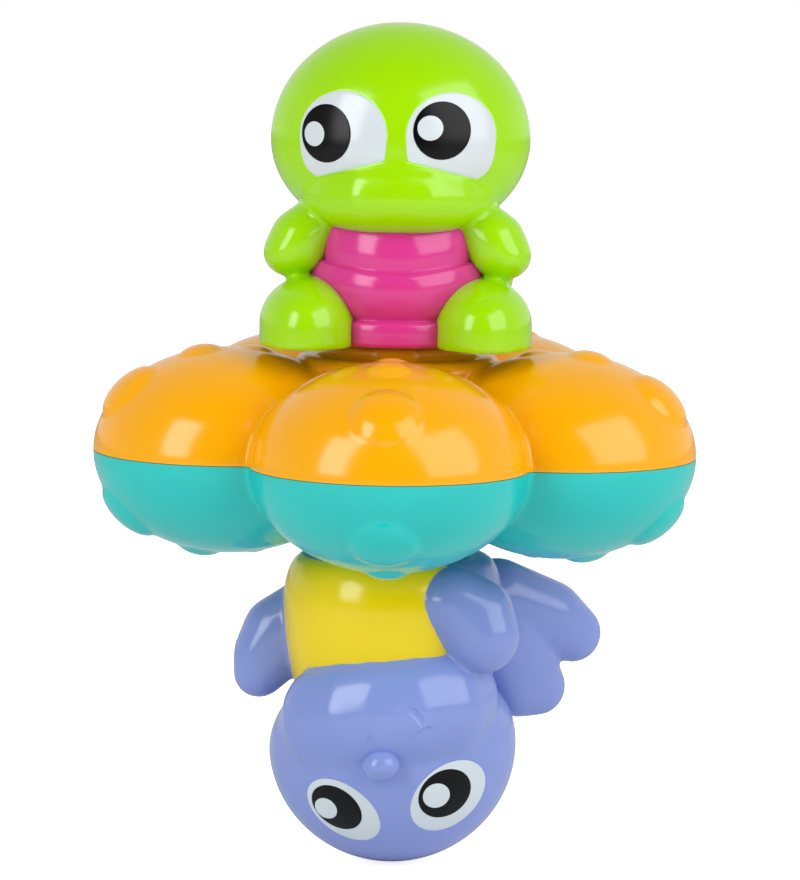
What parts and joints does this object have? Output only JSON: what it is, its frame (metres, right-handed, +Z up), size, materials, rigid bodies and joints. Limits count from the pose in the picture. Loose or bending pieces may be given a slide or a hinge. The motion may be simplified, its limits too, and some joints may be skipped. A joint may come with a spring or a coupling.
{
  "type": "two-sided bath toy",
  "caption": "Floating bath toy: a sitting turtle above and an upside-down seal pup below, each turning on a flower-shaped float moulded in two halves.",
  "frame": {"origin": "centre of the float, on the swivel axis at the seam between the two float halves, where the toy floats", "axes": "+Z up along the swivel axis from the seal to the turtle, -Y towards the front lobe and the turtle's face, +X to the viewer's right"},
  "size_m": [0.1382, 0.1344, 0.1959],
  "materials": {
    "lime_abs": "glossy lime green moulded ABS",
    "pink_abs": "glossy pink moulded ABS",
    "orange_abs": "glossy orange moulded ABS",
    "teal_abs": "glossy teal moulded ABS",
    "lavender_abs": "glossy lavender moulded ABS",
    "yellow_abs": "glossy yellow moulded ABS",
    "white_abs": "white moulded ABS with pad-printed pupils",
    "acetal": "black acetal, as moulded",
    "rubber": "black nitrile rubber",
    "steel": "plain stainless steel"
  },
  "bodies": {
    "float": {"float_upper_shell": "orange_abs", "float_lower_shell": "teal_abs", "float_spindle": "acetal", "upper_spindle_seal": "rubber", "lower_spindle_seal": "rubber", "upper_thrust_washer": "acetal", "lower_thrust_washer": "acetal", "upper_retaining_washer": "steel", "lower_retaining_washer": "steel", "upper_pivot_screw": "steel", "lower_pivot_screw": "steel"},
    "turtle": {"turtle_front_shell": "lime_abs", "turtle_back_shell": "lime_abs", "turtle_base": "lime_abs", "turtle_belly_plate": "pink_abs", "turtle_left_eye": "white_abs", "turtle_right_eye": "white_abs", "turtle_case_screw_1": "steel", "turtle_case_screw_2": "steel", "turtle_case_screw_3": "steel"},
    "seal": {"seal_front_shell": "lavender_abs", "seal_back_shell": "lavender_abs", "seal_base": "lavender_abs", "seal_belly_plate": "yellow_abs", "seal_tail_fin": "lavender_abs", "seal_left_eye": "white_abs", "seal_right_eye": "white_abs", "seal_case_screw_1": "steel", "seal_case_screw_2": "steel", "seal_case_screw_3": "steel"}
  },
  "joints": [
    {"name": "turtle_swivel", "type": "hinge", "parent": "float", "child": "turtle", "pos_m": [0, 0, 0.025], "axis": [0, 0, 1], "continuous": true},
    {"name": "seal_swivel", "type": "hinge", "parent": "float", "child": "seal", "pos_m": [0, 0, -0.025], "axis": [0, 0, -1], "continuous": true}
  ]
}
